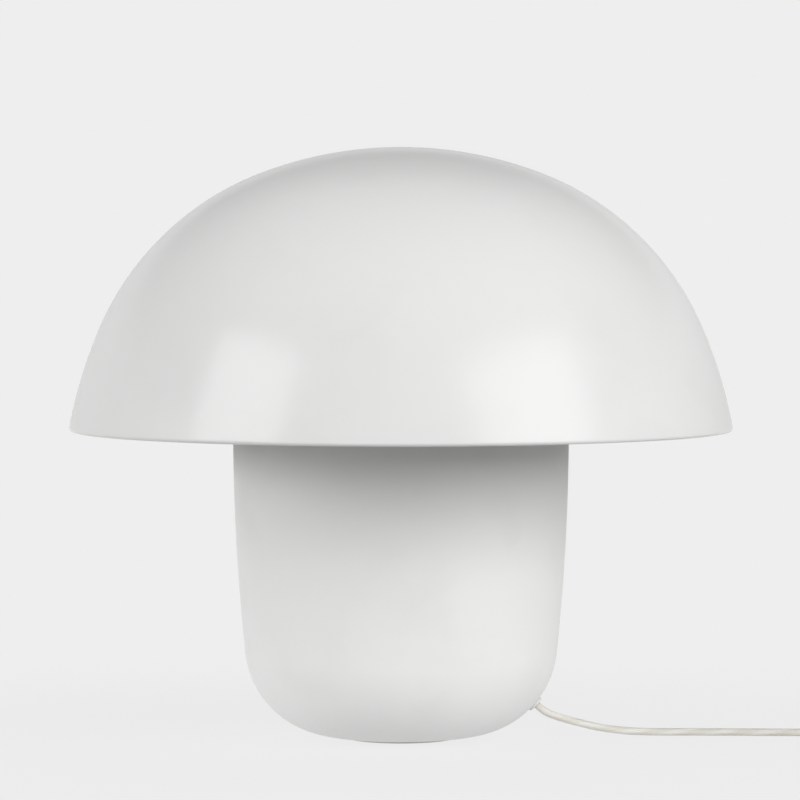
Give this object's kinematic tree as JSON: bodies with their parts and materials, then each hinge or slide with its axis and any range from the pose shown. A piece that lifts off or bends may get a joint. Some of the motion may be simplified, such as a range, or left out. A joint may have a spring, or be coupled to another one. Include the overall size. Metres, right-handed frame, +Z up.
{
  "type": "mushroom table lamp",
  "caption": "Mushroom table lamp: a spun dome shade resting on a ring in a pot-shaped base, with a bulb inside and a mains cord with in-line switch and plug.",
  "frame": {"origin": "centre of the foot pad's underside, on the base's axis", "axes": "+Z up, +X the way the cord leaves the base, +Y away from the viewer"},
  "size_m": [0.5531, 0.399, 0.3562],
  "materials": {
    "shade_enamel": "gloss powder coat",
    "base_enamel": "satin powder coat",
    "frame_enamel": "satin powder coat",
    "ballast_iron": "sand cast, dark lacquer",
    "zinc_steel": "bright zinc plate",
    "nickel": "bright nickel plate",
    "brass": "bright",
    "pad_rubber": "matt, pale grey",
    "buffer_rubber": "matt, translucent",
    "cord_vinyl": "translucent, soft gloss",
    "core_vinyl": "coloured core insulation",
    "bush_plastic": "moulded, translucent",
    "clamp_plastic": "moulded, black",
    "holder_plastic": "moulded, white",
    "insert_phenolic": "moulded, ivory",
    "switch_plastic": "moulded, white",
    "plug_plastic": "moulded, off-white",
    "tie_plastic": "nylon, white",
    "bulb_glass": "frosted inside",
    "bulb_plastic": "moulded, white",
    "board_laminate": "white solder mask",
    "cap_insulator": "black glass-like"
  },
  "bodies": {
    "base": {"pot_shell": "base_enamel", "carrier_frame": "frame_enamel", "shade_ring": "frame_enamel", "ballast_disc": "ballast_iron", "ballast_screw": "zinc_steel", "ballast_washer": "zinc_steel", "ballast_nut": "zinc_steel", "clamp_screws": "zinc_steel", "carrier_screws": "zinc_steel", "carrier_nuts": "zinc_steel", "ring_rivets": "zinc_steel", "nipple_washer": "zinc_steel", "switch_screws": "zinc_steel", "plug_pins": "nickel", "nipple": "brass", "nipple_nut": "brass", "screw_shell": "brass", "centre_contact": "brass", "terminal_screws": "brass", "switch_contacts": "brass", "foot_pad": "pad_rubber", "ring_buffers": "buffer_rubber", "cord_run": "cord_vinyl", "cord_link": "cord_vinyl", "cord_coil": "cord_vinyl", "cord_tail": "cord_vinyl", "inner_lead": "cord_vinyl", "lead_cores": "core_vinyl", "cord_bush": "bush_plastic", "bush_nut": "bush_plastic", "cord_clamp": "clamp_plastic", "holder_cap": "holder_plastic", "holder_skirt": "holder_plastic", "holder_insert": "insert_phenolic", "switch_lower_shell": "switch_plastic", "switch_upper_shell": "switch_plastic", "plug_body": "plug_plastic", "plug_relief": "plug_plastic", "cord_tie": "tie_plastic"},
    "shade": {"shade_dome": "shade_enamel"},
    "bulb": {"bulb_globe": "bulb_glass", "bulb_body": "bulb_plastic", "bulb_board": "board_laminate", "bulb_screw_cap": "nickel", "bulb_insulator": "cap_insulator", "bulb_tip": "nickel"},
    "rocker": {"switch_rocker": "switch_plastic"}
  },
  "joints": [
    {"name": "shade_lift", "type": "slide", "parent": "base", "child": "shade", "axis": [0, 0, 1], "range_m": [0, 0.2]},
    {"name": "bulb_lift", "type": "slide", "parent": "base", "child": "bulb", "axis": [0, 0, 1], "range_m": [0, 0.025]},
    {"name": "rocker_tilt", "type": "hinge", "parent": "base", "child": "rocker", "pos_m": [0.287, 0.091, 0.0136], "axis": [1, 0, 0], "range_deg": [0, 14]}
  ]
}
